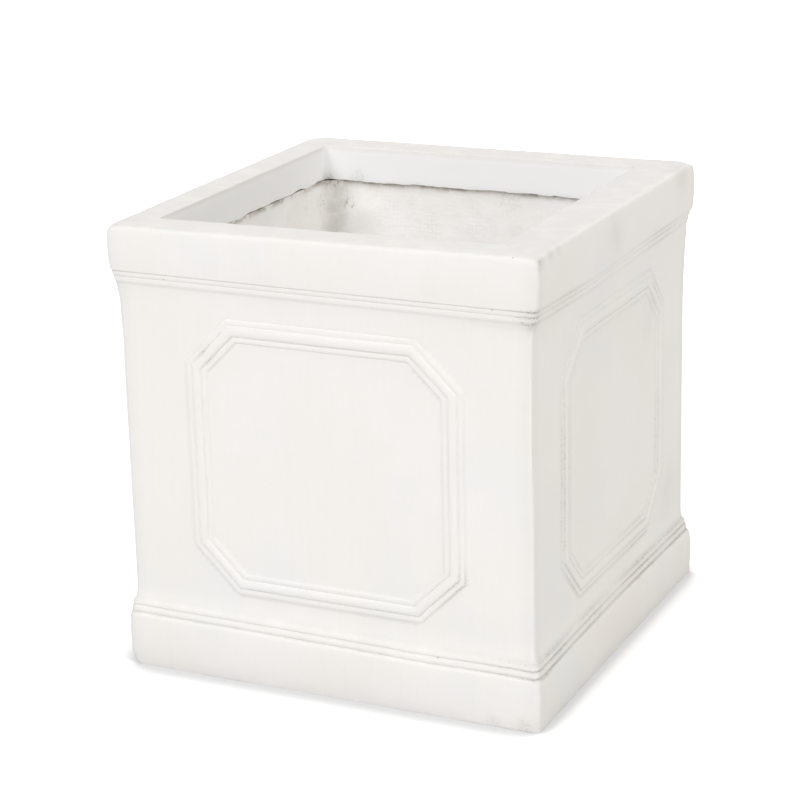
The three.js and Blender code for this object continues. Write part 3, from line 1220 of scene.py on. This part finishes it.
    def build(self, finish: LimewashedFacing) -> Piece:
        """Models the facing and dresses it.

        Args:
            finish: its finish.

        Returns:
            The finished piece.
        """
        piece = self.sweep()
        self.make_quarter(piece)
        self.repeat_quarter()
        close_mesh()
        self.mark(piece)
        self.settle(piece)
        self.level_rim(piece)
        self.weather(piece)
        hold_inside(piece)
        make_active(piece)
        bpy.ops.object.shade_smooth_by_angle(angle=math.radians(50))
        finish_piece(piece, finish.build(), "facing", "facing_shell")
        return piece


# ---------------------------------------------------------------- the hand-laid lining and the floor


@dataclass
class HandLaidLining:
    """The backing behind the facing: a sheet on each wall and a packed cove in each corner.

    All eight are modelled as one lining, so that the surface runs on from piece to piece, and are then
    cut apart where the lay-up meets.
    """

    inner: float = -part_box("backing_front")[1].y
    outer: float = -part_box("backing_front")[0].y
    seam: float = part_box("backing_front")[1].x
    bottom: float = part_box("backing_front")[0].z
    top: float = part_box("backing_front")[1].z
    seat_radius: float = 5 * MM
    edge_slope: float = 1 * MM  # the top and bottom slope this much back towards the facing
    columns: int = 80
    corner_facets: int = 13
    rows: int = 98
    # Where the surface is crumbly or cracked: a point in millimetres, its reach and its strength.
    crusty_spots: Spots = (
        ((-146, 168, 353), 5, 1.0),
        ((-150, 166, 363), 3, 0.7),
        ((-159, 160, 375), 8, 0.9),
        ((-167, 146, 354), 7, 0.6),
        ((25, 168, 368), 14, 0.4),
        ((160, -160, 300), 12, 0.7),
        ((-160, -160, 240), 12, 0.7),
        ((160, 160, 280), 12, 0.6),
    )
    dab: tuple[float, float, float] = (-130, 168, 346)

    def face(self, name: str, half: float, radius: float, rows: int, margin: float) -> Piece:
        """Models one face of the lining, a rounded square carried upwards.

        Args:
            name: the face's name.
            half: half the square's side.
            radius: its corners' radius.
            rows: how many steps it rises in.
            margin: how far it stays from the lining's bottom and top.

        Returns:
            The open face, in object mode.
        """
        clear_selection()
        bpy.ops.mesh.primitive_plane_add(size=2 * half, location=(0, 0, self.bottom + margin))
        piece = bpy.context.object
        piece.name = piece.data.name = name
        bpy.ops.object.transform_apply(location=True, rotation=False, scale=False)
        open_mesh(piece)
        bpy.ops.mesh.bevel(offset=radius, segments=self.corner_facets, affect="VERTICES")
        bpy.ops.mesh.delete(type="ONLY_FACE")
        pick(piece, Part.EDGE, lambda point: abs(max(abs(point.x), abs(point.y)) - half) < MM / 100)
        bpy.ops.mesh.subdivide(number_cuts=self.columns - 1)
        select_all()
        for _ in range(rows):
            bpy.ops.mesh.extrude_edges_move()
            bpy.ops.transform.translate(value=(0, 0, (self.top - self.bottom - 2 * margin) / rows))
        close_mesh()
        return piece

    def whole(self) -> Piece:
        """Models the closed lining.

        Returns:
            The lining, in object mode.
        """
        back = self.face("lining_back", self.outer, self.seat_radius, 1, self.edge_slope)
        piece = self.face("lining", self.inner, self.inner - self.seam, self.rows, 0.0)
        back.select_set(True)
        piece.select_set(True)
        bpy.ops.object.join()
        open_mesh(piece)
        for height in (self.bottom, self.top):
            pick(piece, Part.EDGE, lambda point: abs(point.z - height) < 1.1 * self.edge_slope)
            bpy.ops.mesh.bridge_edge_loops()
        select_all()
        bpy.ops.mesh.normals_make_consistent(inside=False)
        close_mesh()
        return piece

    def press(self, piece: Piece) -> None:
        """Leaves on the lining the waves, dabs and folds of the hand that pressed it on.

        Args:
            piece: the lining, in object mode.
        """
        x, y, z = coordinates(piece).T
        x, y = np.abs(x), np.abs(y)
        inside = np.maximum(x, y) < self.inner + MM
        angle = np.arctan2(np.maximum(0, x - self.seam), np.maximum(MM / 100, y - self.seam))
        angle = np.where((x > self.seam) & (y > self.seam), angle, 0)
        fold = np.where(inside, np.sin(2 * angle) ** 2, 0)
        from_corner = np.hypot(self.inner - x, self.inner - y)
        store_weight(piece, "fold", bell(np.maximum(0, from_corner - 12 * MM), 26 * MM) * inside)
        store_weight(piece, "crust", near_spots(coordinates(piece), self.crusty_spots) * inside)
        # painted shade: a band at the lining's top, partly dirt and partly painted shade under the collar's overhang
        store_weight(piece, "crevice", bell(self.top - z, 2.4 * MM) * inside)
        store_weight(piece, "around", np.where(x > y, y, x) + (self.inner - self.seam) * angle)
        group_by_weight(piece, "inside", inside.astype(float), 1)
        group_by_weight(piece, "fold", fold)
        wear_by_noise(piece, Grain.SOFT, 75 * MM, 2.6 * MM, group="inside")
        wear_by_noise(piece, Grain.SOFT, 17 * MM, 1.5 * MM, group="inside", octaves=2)
        wear_by_noise(piece, Grain.SOFT, 9 * MM, 1.4 * MM, group="fold", octaves=2)
        push(piece, (z > self.top - MM) * inside, 1.3 * MM, "Z")
        dab = np.linalg.norm((coordinates(piece) - np.array(self.dab) * MM) * (1, 1, 0.8), axis=1)
        push(piece, bell(dab, 10 * MM) * inside, 3.2 * MM)

    def cut_out(
        self, lining: Piece, name: str, halves: list[Vector], ends: list[tuple[Vector, Vector]]
    ) -> Piece:
        """Copies the lining and cuts the copy down to one piece.

        Args:
            lining: the whole lining.
            name: the piece's name.
            halves: the directions whose far half goes first.
            ends: a point and a normal of each end, beyond which all goes, and which is closed.

        Returns:
            The piece.
        """
        make_active(lining)
        bpy.ops.object.duplicate()
        piece = bpy.context.object
        piece.name = piece.data.name = name
        open_mesh(piece)
        for normal in halves:
            select_all()
            bpy.ops.mesh.bisect(plane_co=(0, 0, 0), plane_no=-normal, clear_outer=True)
        for point, normal in ends:
            select_all()
            bpy.ops.mesh.bisect(plane_co=point, plane_no=normal, clear_outer=True, use_fill=True)
        close_mesh()
        bpy.ops.object.shade_smooth_by_angle(angle=math.radians(60))
        return piece

    def build(self, sheet_finish: HandLaidBacking, cove_finish: HandLaidBacking) -> None:
        """Models the lining, cuts its pieces and dresses them.

        Args:
            sheet_finish: the wall sheets' finish.
            cove_finish: the corner coves' finish.
        """
        lining = self.whole()
        self.press(lining)
        sheet_material, cove_material = sheet_finish.build(), cove_finish.build()
        corners = ("front_right", "back_right", "back_left", "front_left")
        for turn, corner in zip(Turn, corners):
            turned = Matrix.Rotation(turn.value, 3, "Z")
            along, out = turned @ Vector((1, 0, 0)), turned @ Vector((0, -1, 0))
            side = turn.name.lower()
            ends = [(along * self.seam, along), (-along * self.seam, -along)]
            sheet = self.cut_out(lining, f"laid_sheet_{side}", [out], ends)
            finish_piece(sheet, sheet_material, "backing", f"backing_{side}")
            ends = [(along * self.seam, -along), (out * self.seam, -out)]
            cove = self.cut_out(lining, f"packed_cove_{corner}", [along, out], ends)
            finish_piece(cove, cove_material, "mesh_cove", f"cove_{corner}")
        bpy.data.objects.remove(lining)


@dataclass
class LaidFloor:
    """The floor slab with its flared drain hole, trowelled flat by hand."""

    half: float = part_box("floor_slab")[1].x
    bottom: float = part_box("floor_slab")[0].z
    top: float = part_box("floor_slab")[1].z
    corner_radius: float = 5 * MM
    drain_radius: float = 13 * MM
    drain_flare: float = 5 * MM
    drain_facets: int = 64
    grid: float = 5 * MM

    def slab(self) -> Piece:
        """Models the slab with an uneven top.

        Returns:
            The slab, in object mode.
        """
        clear_selection()
        bpy.ops.mesh.primitive_cube_add(size=2 * self.half)
        piece = bpy.context.object
        piece.name = piece.data.name = "trowelled_floor"
        open_mesh(piece)
        thickness = self.top - self.bottom
        bpy.ops.transform.resize(value=(1, 1, thickness / (2 * self.half)), center_override=(0, 0, 0))
        bpy.ops.transform.translate(value=(0, 0, self.bottom + thickness / 2))
        count = int(self.half / self.grid)
        places = [i * self.grid for i in range(-count + 2, count - 1)]
        cut_grid(piece, Vector((1, 0, 0)), places)
        cut_grid(piece, Vector((0, 1, 0)), places)
        close_mesh()
        x, y, z = coordinates(piece).T
        far = np.clip((self.half - 10 * MM - np.maximum(np.abs(x), np.abs(y))) / (4 * MM), 0, 1)
        group_by_weight(piece, "top", np.where(z > self.top - MM, far, 0))
        wear_by_noise(piece, Grain.SOFT, 60 * MM, 2.2 * MM, "Z", level=0.8, group="top")
        wear_by_noise(piece, Grain.SOFT, 14 * MM, 0.8 * MM, "Z", level=0.8, group="top", octaves=2)
        return piece

    def drill(self, piece: Piece) -> None:
        """Takes the drain hole out of the slab.

        Args:
            piece: the slab, in object mode.
        """
        thickness, over = self.top - self.bottom, 2 * MM
        spread = self.drain_flare * over / thickness
        clear_selection()
        bpy.ops.mesh.primitive_cone_add(
            vertices=self.drain_facets,
            radius1=self.drain_radius + self.drain_flare + spread,
            radius2=self.drain_radius - spread,
            depth=thickness + 2 * over,
            location=(0, 0, self.bottom + thickness / 2),
        )
        plug = bpy.context.object
        apply_modifier(piece, "BOOLEAN", object=plug, operation="DIFFERENCE", solver="EXACT")
        bpy.data.objects.remove(plug)

    def build(self, finish: TrowelledFloor) -> None:
        """Models the slab and dresses it.

        Args:
            finish: its finish.
        """
        piece = self.slab()
        self.drill(piece)
        make_active(piece)
        bpy.ops.object.shade_smooth_by_angle(angle=math.radians(40))
        finish_piece(piece, finish.build(), "floor", "floor_slab")


# ---------------------------------------------------------------- studio


def towards(azimuth: float, elevation: float) -> Vector:
    """The direction to a place round the planter, in degrees from the front and over the horizon."""
    turn, tilt = math.radians(azimuth), math.radians(elevation)
    return Vector((math.sin(turn) * math.cos(tilt), -math.cos(turn) * math.cos(tilt), math.sin(tilt)))


@dataclass(frozen=True)
class Studio:
    """Plain white studio: a floor that fades into the background, soft lamps and the camera."""

    camera_place: tuple[float, float, float] = (0.8849, -1.9031, 0.8770)
    azimuth: float = 25.41  # degrees
    elevation: float = 17.52
    roll: float = -1.34
    lens: float = 107.0  # millimetres, on a sensor of 36
    shift_x: float = 0.0028
    floor_size: float = 14.0
    lamp_width: float = 45.0  # degrees across, as seen from the planter
    shade_reach: float = 220 * MM
    room_level: float = 0.385  # the even light from all round
    # painted shade: the floor's colour for bounced light is darker in front of and beside the planter, as its shadow
    bounce_shade: tuple[float, float, float] = (0.57, 0.72, 0.8)  # in front, on the right and further off
    contact_reach: float = 46 * MM
    contact_darkest: float = 0.55
    contact_colour: str = "C1C1C2"
    side_contact_colour: str = "D4D4D3"

    def set_camera(self) -> None:
        """Puts the camera where the photograph was taken from."""
        data = bpy.data.cameras.new("camera")
        data.lens, data.sensor_width, data.shift_x = self.lens, 36.0, self.shift_x
        data.clip_end = 100.0
        camera = bpy.data.objects.new("camera", data)
        bpy.context.scene.collection.objects.link(camera)
        bpy.context.scene.camera = camera
        turn, roll = math.radians(self.azimuth), math.radians(self.roll)
        back = towards(self.azimuth, self.elevation)
        right = Vector((math.cos(turn), math.sin(turn), 0))
        up = back.cross(right)
        right, up = (
            math.cos(roll) * right + math.sin(roll) * up,
            math.cos(roll) * up - math.sin(roll) * right,
        )
        camera.matrix_world = Matrix.Translation(self.camera_place) @ Matrix((right, up, back)).transposed().to_4x4()

    def floor_material(self) -> Material:
        """White paper floor: to the camera it clears to white, and it keeps the planter's contact shadow."""
        material, tree, place = start_material("white_paper")
        spot = add_node(tree, "SeparateXYZ", Vector=place).outputs
        across, away = (add_node(tree, "Math", {"operation": "ABSOLUTE"}, _0=spot[axis]).outputs[0] for axis in "XY")
        open_floor = ramp(tree, greater(tree, across, away), cad_box[1].x, cad_box[1].x + self.shade_reach)
        front, right, further = ((level, level, level, 1) for level in self.bounce_shade)
        # painted shade: paper near the planter is darker, so less light bounces onto its lower walls
        near = blend_colours(tree, ramp(tree, spot["X"], 0.05, 0.25), front, right)
        paper = add_node(tree, "BsdfDiffuse", Color=blend_colours(tree, open_floor, near, further))
        nearness = add_node(tree, "AmbientOcclusion", {"samples": 16}, Distance=self.contact_reach).outputs["AO"]
        kept = ramp(tree, nearness, self.contact_darkest, 0.98)
        beside = ramp(tree, spot["X"], cad_box[1].x, cad_box[1].x + 12 * MM)
        contact = blend_colours(tree, beside, linear(self.contact_colour), linear(self.side_contact_colour))
        tone = blend_colours(tree, kept, contact, (1, 1, 1, 1))
        shadow = add_node(tree, "BsdfDiffuse", Color=blend_colours(tree, 1.0, tone, further, "MULTIPLY"))
        glow = add_node(tree, "Emission", Color=tone, Strength=0.6)
        seen = add_node(tree, "AddShader", _0=shadow.outputs[0], _1=glow.outputs[0])
        mix = add_node(tree, "MixShader", _0=direct_rays(tree), _1=paper.outputs[0], _2=seen.outputs[0])
        add_node(tree, "OutputMaterial", Surface=mix.outputs[0])
        return material

    def lay_floor(self) -> None:
        """Lays the white floor."""
        clear_selection()
        bpy.ops.mesh.primitive_plane_add(size=self.floor_size)
        floor = bpy.context.object
        floor.name = "studio_floor"
        floor.data.materials.append(self.floor_material())
        clear_selection()

    def light_world(self) -> None:
        """Even light from all round, and a white background."""
        world = bpy.data.worlds.new("studio_world")
        bpy.context.scene.world = world
        world.use_nodes = True
        tree = world.node_tree
        tree.nodes.clear()
        room = add_node(tree, "Background", Color=(1, 1, 1, 1), Strength=self.room_level)
        white = add_node(tree, "Background", Color=(1, 1, 1, 1), Strength=1.0)
        mix = add_node(tree, "MixShader", _0=direct_rays(tree), _1=room.outputs[0], _2=white.outputs[0])
        add_node(tree, "OutputWorld", Surface=mix.outputs[0])

    def add_lamp(self, name: str, azimuth: float, elevation: float, level: float, tint: str = "FFFFFF") -> None:
        """Adds a broad soft lamp, far enough away to light all of the planter alike.

        Args:
            name: the lamp's name.
            azimuth: the side it stands on, in degrees from the front towards the right.
            elevation: its height over the horizon, in degrees.
            level: the brightness that it alone gives white paper held square to it.
            tint: the light's colour.
        """
        data = bpy.data.lights.new(name, "SUN")
        data.angle, data.energy = math.radians(self.lamp_width), level * math.pi
        data.color = linear(tint)[:3]
        lamp = bpy.data.objects.new(name, data)
        bpy.context.scene.collection.objects.link(lamp)
        lamp.rotation_euler = towards(azimuth, elevation).to_track_quat("Z", "Y").to_euler()

    def build(self) -> None:
        """Sets up the whole studio."""
        self.set_camera()
        self.lay_floor()
        self.light_world()
        self.add_lamp("front_lamp", -8, 40, 0.525)
        self.add_lamp("right_lamp", 82, 40, 0.32, "FFFCF3")
        self.add_lamp("back_lamp", 205, 30, 0.19)
        bpy.context.scene.view_settings.view_transform = "Standard"


def main() -> None:
    """Builds the planter's pieces and the studio, in order."""
    logging.basicConfig(level=logging.INFO, format="%(name)s: %(message)s")
    Studio().build()
    log.info("studio ready")
    CastFacing().build(LimewashedFacing())
    HandLaidLining().build(HandLaidBacking(crazed=True), HandLaidBacking("mesh_packed_fibre_cement"))
    LaidFloor().build(TrowelledFloor())


if __name__ == "__main__":
    main()
